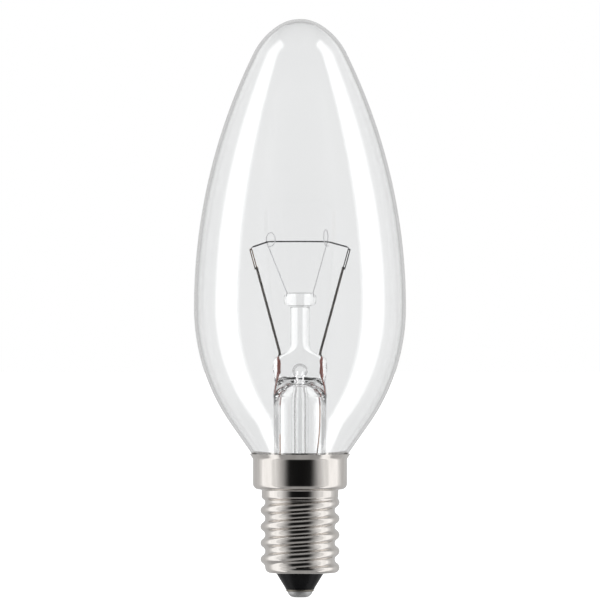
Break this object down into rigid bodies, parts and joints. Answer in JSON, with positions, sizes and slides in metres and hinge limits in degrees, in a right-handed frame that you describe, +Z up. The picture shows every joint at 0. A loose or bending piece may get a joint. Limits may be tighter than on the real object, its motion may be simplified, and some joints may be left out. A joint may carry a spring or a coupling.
{
  "type": "candle bulb",
  "caption": "Clear candle-shaped filament lamp bulb with a small rolled screw cap, glass stem and drawn coil filament on wire supports.",
  "frame": {"origin": "centre of the foot of the contact under the cap, on the lamp's axis", "axes": "+Z up the lamp's axis from the contact to the crown of the glass, +X through the two leads, -Y the side seen first"},
  "size_m": [0.0366, 0.0366, 0.1],
  "materials": {
    "clear_glass": "clear polished",
    "stem_glass": "clear fire-polished",
    "nickel_shell": "nickel-plated, bright rolled",
    "black_glass": "glossy black vitrified",
    "solder": "dull cast solder",
    "brass_eyelet": "bare pressed",
    "nickel_wire": "drawn satin",
    "seal_wire": "oxidised copper sheath",
    "copper_wire": "drawn",
    "support_wire": "drawn dark",
    "tungsten": "dark coiled wire",
    "cement": "matt baked"
  },
  "bodies": {
    "root": {"glass_envelope": "clear_glass", "stem_flare": "stem_glass", "exhaust_tube": "stem_glass", "stem_rod": "stem_glass", "support_hook_left": "support_wire", "support_hook_right": "support_wire", "filament": "tungsten", "lead_upper_left": "nickel_wire", "lead_upper_right": "nickel_wire", "dumet_left": "seal_wire", "dumet_right": "seal_wire", "fuse_link": "nickel_wire", "lead_lower_left": "copper_wire", "lead_lower_right": "copper_wire", "cap_shell": "nickel_shell", "cap_insulator": "black_glass", "contact_eyelet": "brass_eyelet", "contact_solder": "solder", "capping_cement": "cement", "side_solder": "solder"}
  },
  "joints": []
}
